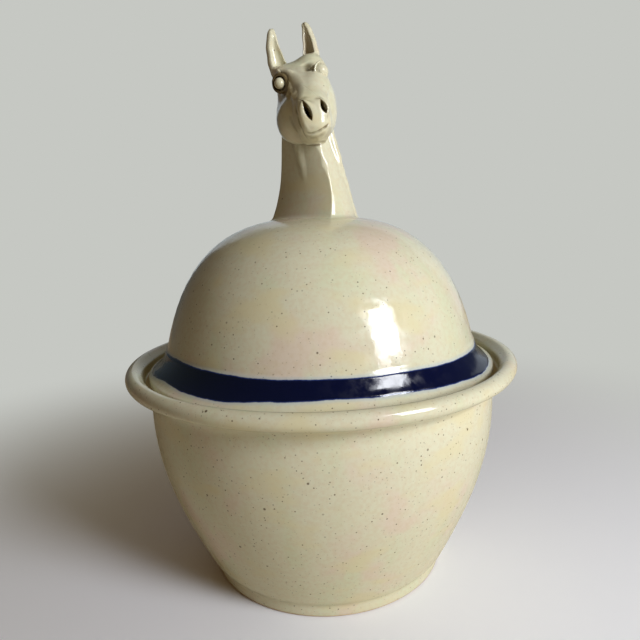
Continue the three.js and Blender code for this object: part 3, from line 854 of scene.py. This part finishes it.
def neckField(p):
    x, y, z = p.T
    top = crownHeight + neck["height"] - neck["tongue"]
    share = np.clip((z - neck["start"]) / (top - neck["start"]), 0, 1)
    a, b = neck["powers"]
    taper = 1 - (1 - share ** a) ** b
    flare = neck["flare"] * np.maximum(0, 1 - share / neck["flareReach"]) ** 2
    centre = neck["lean"] * share ** 1.5 + neck["sway"] * share * (1 - share) ** 3
    wide, deep = ((neck["base"][k] * (1 - taper) + neck["top"][k] * taper) / 2 + flare for k in (0, 1))
    corner = neck["corner"] * (1 - share ** 2)
    slim = neck["slim"] * smoothStep(*neck["slimFrom"], share)
    dx, dy = (x - centre) / np.where(x < centre, wide + corner, wide - slim), y / deep
    f = (np.sqrt(dx * dx + dy * dy) - 1) * np.minimum(wide, deep)
    # one large arc cuts the left face
    turn, curve = math.radians(neck["faceTurn"]), neck["faceCurve"] * wide
    lowest, highest = neck["faceHeights"][0], neck["faceHeights"][-1]
    inset = through(neck["faceHeights"], neck["faceInset"], np.clip(z, lowest, highest))
    faceX, faceY = centre + (curve - inset) * math.sin(turn), (curve - inset) * math.cos(turn)
    dabWide, dabTall = neck["dabSize"]
    dabs = sum(np.exp(-((z - height) / dabTall) ** 2 - ((x - across) / dabWide) ** 2)
               for across, height in neck["dabs"])
    least, more = neck["ridgeSoft"]
    soft = neck["ridge"] * (least + more * smoothStep(*neck["ridgeFrom"], z) + dabs)
    f = smoothCut(f, np.hypot(x - faceX, y - faceY) - curve, soft)
    return np.maximum(f, z - top).astype(np.float32)


domeLine = domeCurve(0, 300)[::-1]
domeSlope = np.gradient(domeLine[:, 1], domeLine[:, 0] + 1e-9 * np.arange(len(domeLine)))


def domeField(p):
    radius = np.hypot(p[:, 0], p[:, 1])
    height = np.interp(radius, domeLine[:, 0], domeLine[:, 1])
    tilt = np.interp(radius, domeLine[:, 0], domeSlope)
    return ((p[:, 2] - height) / np.hypot(1, tilt)).astype(np.float32)


# How softly the parts run into each other, and the thin skirt of clay where the neck meets the dome.
join = {
    "neck": 1.4, "ear": 1.6, "dome": 2.4, "domeGap": 0.12, "skirt": 0.5, "skirtReach": 2.6,
    "nearDome": 12,
}


def finialFields(p):  # the whole finial, and the parts that its faces are shared among
    q = toHead(p)
    headPart = headField(q)
    raw = neckField(p)
    low = p[:, 2] < crownHeight + join["nearDome"]
    neckPart = raw.copy()
    if low.any():
        dome = domeField(p[low]) + join["domeGap"]
        blended = np.maximum(smoothUnion(raw[low], dome, join["dome"]), -(dome + join["skirt"]))
        neckPart[low] = np.maximum(blended, raw[low] - join["skirtReach"])
    whole = smoothUnion(headPart, neckPart, join["neck"])
    parts = {"finial_neck": raw, "finial_head": headPart}
    for side, eye in eyes.items():
        earPart = earField(q, side)
        whole = smoothUnion(whole, earPart, join["ear"])
        parts["eyelid_" + eye["label"]] = lidField(q, side)
        parts["ear_" + eye["label"]] = earPart
    roof = crownHeight + neck["height"] - neck["roof"]
    whole = np.maximum(whole, -np.maximum(raw + neck["bore"], p[:, 2] - roof))
    return whole, parts


def finialField(p):
    return finialFields(p)[0]


def evaluated(field, p, chunk=400000):
    return np.concatenate([field(p[i:i + chunk]) for i in range(0, len(p), chunk)])


# The surface where the field is zero. Blocks far from it are skipped, each cell that it crosses gets one
# point, and the points are then moved onto the surface along the field's slope.
def skinned(field, low, high, cell, block=5):
    low = np.asarray(low, float)
    blocks = np.ceil((np.asarray(high, float) - low) / (cell * block)).astype(int)
    counts = blocks * block + 1
    centres = [low[a] + (np.arange(blocks[a]) + 0.5) * cell * block for a in range(3)]
    grid = np.stack(np.meshgrid(*centres, indexing="ij"), -1).reshape(-1, 3)
    rough = evaluated(field, grid).reshape(blocks)
    halfDiagonal, spare = cell * block * 0.87, 1.35
    near = np.abs(rough) < halfDiagonal * spare + 1.0
    values = rough
    for axis in range(3):
        near = np.repeat(near, block, axis)
        values = np.repeat(values, block, axis)
    pad = [(0, 1)] * 3
    near = np.pad(near, pad, mode="edge")
    values = np.pad(values, pad, mode="edge").astype(np.float32)
    spots = np.argwhere(near)
    values[near] = evaluated(field, low + spots * cell)
    inside = values < 0
    corners = [(i, j, k) for i in (0, 1) for j in (0, 1) for k in (0, 1)]
    size = counts - 1

    def shifted(array, c):
        return array[c[0]:c[0] + size[0], c[1]:c[1] + size[1], c[2]:c[2] + size[2]]

    total = sum(shifted(inside, c).astype(np.int8) for c in corners)
    cells = np.argwhere((total > 0) & (total < 8))
    ids = np.full(size, -1, np.int64)
    ids[tuple(cells.T)] = np.arange(len(cells))
    at = np.stack([values[tuple((cells + c).T)] for c in corners], 1)
    sums, hits = np.zeros((len(cells), 3)), np.zeros(len(cells))
    for a in range(8):
        for b in range(a + 1, 8):
            step = np.array(corners[b]) - corners[a]
            if abs(step).sum() != 1:
                continue
            va, vb = at[:, a], at[:, b]
            cross = (va < 0) != (vb < 0)
            t = np.where(cross, va / np.where(cross, va - vb, 1), 0)
            sums += cross[:, None] * (np.array(corners[a]) + t[:, None] * step)
            hits += cross
    points = low + (cells + sums / hits[:, None]) * cell
    faces = []
    for axis in range(3):
        first, second = [slice(None)] * 3, [slice(None)] * 3
        first[axis], second[axis] = slice(0, -1), slice(1, None)
        spots = np.argwhere(inside[tuple(first)] != inside[tuple(second)])
        u, v = [(1, 2), (2, 0), (0, 1)][axis]
        across = spots[:, (u, v)]
        spots = spots[((across > 0) & (across < size[[u, v]])).all(1)]
        du, dv = np.eye(3, dtype=int)[u], np.eye(3, dtype=int)[v]
        quad = np.stack([ids[tuple((spots - o).T)] for o in (du + dv, dv, 0 * du, du)], 1)
        solid = inside[tuple(spots.T)]
        faces.append(np.where(solid[:, None], quad, quad[:, ::-1]))
    faces = np.concatenate(faces)
    faces = faces[(faces >= 0).all(1)]
    flattest, farthest = 0.04, cell * 0.4
    for _ in range(2):
        value, slope = gradient(field, points, cell * 0.25)
        step = (value / np.maximum((slope ** 2).sum(1), flattest))[:, None] * slope
        reach = np.linalg.norm(step, axis=1)[:, None]
        points = points - step * np.minimum(1, farthest / np.maximum(reach, 1e-9))
    _, slope = gradient(field, points, cell * 0.35)
    normals = slope / np.maximum(np.linalg.norm(slope, axis=1), 1e-9)[:, None]
    return points, faces, normals


def gradient(field, p, step):
    value = evaluated(field, p)
    slope = np.zeros((len(p), 3))
    for axis in range(3):
        shift = np.zeros(3)
        shift[axis] = step
        slope[:, axis] = (evaluated(field, p + shift) - evaluated(field, p - shift)) / (2 * step)
    return value, slope


finial = {
    "names": {"finial_neck": "llamaNeck", "finial_head": "llamaHead", "lower_jaw": "lowerJaw",
              "ear_left": "earLeft", "ear_right": "earRight",
              "eyelid_left": "eyelidLeft", "eyelid_right": "eyelidRight"},
    "skirt": 12, "jawFront": -20, "specks": 0.04,
    # how dark and how wide the painted shade round the left eye is, and the share of pooled glaze and
    # painted shade kept on the ears
    "eyeShade": 0.62, "eyeShadeReach": (0.3, 2.6), "earPoolAndShade": 0.2,
}


def belowMouth(q):
    x, height = zip(*lines["mouth"][0])
    return (q[:, 2] < np.interp(q[:, 0], x, height)) & (q[:, 1] < finial["jawFront"])


def makeFinial():
    lows, highs = zip(*(boxOf(node) for node in ("finial_neck", "finial_head", "ear_right")))
    low = np.minimum(lows[0], lows[1]) - head["margin"]
    low[2] = crownHeight - finial["skirt"]
    high = np.max(highs, axis=0) + head["margin"]
    points, faces, normals = skinned(finialField, low, high, head["cell"])
    middles = points[faces].mean(1)
    _, parts = finialFields(middles)
    names = list(parts) + ["lower_jaw"]
    nearest = np.argmin(np.stack(list(parts.values())), 0)
    isHead = nearest == names.index("finial_head")
    nearest[isHead & belowMouth(toHead(middles))] = names.index("lower_jaw")
    # how closed in each point is, and how far below the plain form of the head; the glaze is darkened by
    # both, as pooled glaze and painted shade
    reach = glaze["shadeAndPoolReach"]
    pooledAndShaded = 1 - evaluated(finialField, points + normals * reach) / reach
    sunk = -evaluated(lambda p: faceForm(toHead(p)), points)
    # painted shade round the left eye's ring, where the eye lies in shade
    shadeByEye = 1 - smoothStep(*finial["eyeShadeReach"], lidField(toHead(points), -1))
    pooledAndShaded = np.maximum(pooledAndShaded, finial["eyeShade"] * shadeByEye)
    material = creamGlaze("finialCream", speckShare=finial["specks"], withPoolsAndShade=True)
    for k, name in enumerate(names):
        chosen = faces[nearest == k]
        used, flat = np.unique(chosen, return_inverse=True)
        piece = meshPiece(finial["names"][name], points[used], flat.reshape(chosen.shape), normals[used])
        # painted shade and pooled glaze, kept weaker on the ears
        addAttribute(piece, "pooledAndShaded", pooledAndShaded[used] * (finial["earPoolAndShade"] if "ear_" in name else 1))
        addAttribute(piece, "sunk", sunk[used])
        givePiece(piece, "lid", [name], material)
    print("finial skinned:", len(faces), "faces")
    return material


eyeball = {"rings": 40, "around": 64, "pits": 90, "pitSize": 0.11, "pitDepth": {-1: 0.03, 1: 0.26}}


def onBall(polar, turn):  # the way out from a ball's centre
    return np.stack([np.sin(polar) * np.cos(turn), np.sin(polar) * np.sin(turn), np.cos(polar)], -1)


def makeEyes(material):
    rings, around = eyeball["rings"], eyeball["around"]
    golden = math.pi * (1 + 5 ** 0.5)  # spreads the pits evenly, and then some are left out
    spiral = np.arange(eyeball["pits"]) + 0.5
    pits = onBall(np.arccos(1 - 2 * spiral / eyeball["pits"]), spiral * golden)
    pits = pits[np.sin(spiral * 2.3) > -0.1]

    def ringStart(i):
        return 0 if i == 0 else 1 + (i - 1) * around

    faces = []
    for i in range(rings):
        here, below = ringStart(i), ringStart(i + 1)
        for j in range(around):
            k = (j + 1) % around
            if i == 0:
                faces.append((0, below + j, below + k))
            elif i == rings - 1:
                faces.append((here + j, below, here + k))
            else:
                faces.append((here + j, below + j, below + k, here + k))
    for side, eye in eyes.items():
        vertices = []
        for i in range(rings + 1):
            for j in range(around if 0 < i < rings else 1):
                out = onBall(math.pi * i / rings, 2 * math.pi * j / around)
                gaps = np.linalg.norm(pits - out, axis=1)
                dents = np.exp(-(gaps / eyeball["pitSize"]) ** 2).sum()
                radius = eye["ball"] - eyeball["pitDepth"][side] * dents
                vertices.append(fromHead(eye["centre"] + out * radius))
        piece = meshPiece("eye" + eye["label"].capitalize(), vertices, faces)
        givePiece(piece, "lid", ["eye_" + eye["label"]], material)


makeEyes(makeFinial())
print("finial done")


# Floor, lights and backdrop

studio = {
    "floor": shade(243, 244, 250), "bounce": shade(225, 219, 203), "wall": shade(198, 200, 195),
    "floorRings": (60, 120, 200, 320, 500, 900, 1500), "floorAround": 64, "floorRoughness": 0.85,
    "fade": (0.15, 0.6),  # in metres, where the floor runs into the backdrop
    "gleam": (0.075, 0.095, 0.105, 1), "air": 0.082, "airColour": (1, 0.52, 0.16, 1), "aim": (0, 0, 0.15),
}
lamps = {
    "key": {"azimuth": 48, "elevation": 22, "distance": 1.1, "size": (0.34, 0.5), "power": 11.9,
            "colour": (0.97, 1, 1.05)},
    "ceiling": {"azimuth": 40, "elevation": 75, "distance": 1.2, "size": (1, 1), "power": 0.9,
                "colour": (0.9, 1, 0.6)},
    "backWall": {"azimuth": 168, "elevation": 16, "distance": 1.3, "size": (2.0, 0.9), "power": 2.6,
                 "colour": (0.86, 0.95, 1)},
}


def areaLight(name, spec):
    data = bpy.data.lights.new(name, "AREA")
    data.shape = "RECTANGLE"
    data.size, data.size_y = spec["size"]
    data.energy, data.color = spec["power"], spec["colour"]
    lamp = bpy.data.objects.new(name, data)
    turn, rise = math.radians(spec["azimuth"]), math.radians(spec["elevation"])
    out = Vector((math.sin(turn) * math.cos(rise), -math.cos(turn) * math.cos(rise), math.sin(rise)))
    lamp.location = Vector(studio["aim"]) + out * spec["distance"]
    lamp.visible_camera = False
    lamp.rotation_mode = "QUATERNION"
    lamp.rotation_quaternion = (-out).to_track_quat("-Z", "Y")
    bpy.context.scene.collection.objects.link(lamp)


def makeFloor():
    rings, around = studio["floorRings"], studio["floorAround"]
    vertices = [(0, 0, 0)]
    for r in rings:
        for j in range(around):
            turn = 2 * math.pi * j / around
            vertices.append((r * math.cos(turn), r * math.sin(turn), 0))
    faces = [(0, 1 + j, 1 + (j + 1) % around) for j in range(around)]
    for i in range(len(rings) - 1):
        for j in range(around):
            a, b = 1 + i * around + j, 1 + i * around + (j + 1) % around
            faces.append((a, a + around, b + around, b))
    floor = meshPiece("floor", vertices, faces)
    material, n, shader, output = newMaterial("paleFloor")
    place = n.add("ShaderNodeTexCoord").outputs["Object"]
    away = n.add("ShaderNodeVectorMath", {0: place}, operation="LENGTH").outputs["Value"]
    wall = n.add("ShaderNodeEmission", {"Color": studio["wall"], "Strength": 1.0})
    seen = n.add("ShaderNodeLightPath").outputs["Is Camera Ray"]
    share = n.maths("MULTIPLY", n.ramp(away, *studio["fade"]), seen)
    mixed = n.add("ShaderNodeMixShader", {0: share, 1: shader.outputs[0], 2: wall.outputs[0]})
    n.put(shader.inputs["Roughness"], studio["floorRoughness"])
    n.put(shader.inputs["Base Color"], n.mix(seen, studio["bounce"], studio["floor"]))
    n.put(output.inputs["Surface"], mixed.outputs[0])
    floor.data.materials.append(material)


def makeWorld():
    world = bpy.data.worlds.new("room")
    bpy.context.scene.world = world
    world.use_nodes = True
    tree = world.node_tree
    tree.nodes.clear()
    n = Nodes(tree)
    path = n.add("ShaderNodeLightPath").outputs

    def glow(colour, strength=1.0):
        return n.add("ShaderNodeBackground", {"Color": colour, "Strength": strength}).outputs[0]

    def either(share, a, b):
        return n.add("ShaderNodeMixShader", {0: share, 1: a, 2: b}).outputs[0]

    room = glow(studio["airColour"], studio["air"])
    room = either(path["Is Glossy Ray"], room, glow(studio["gleam"]))
    room = either(path["Is Camera Ray"], room, glow(studio["wall"]))
    n.add("ShaderNodeOutputWorld", {"Surface": room})


makeFloor()
makeWorld()
for lampName, lamp in lamps.items():
    areaLight(lampName, lamp)
bpy.context.scene.view_settings.view_transform = "Standard"
print("stage lit")
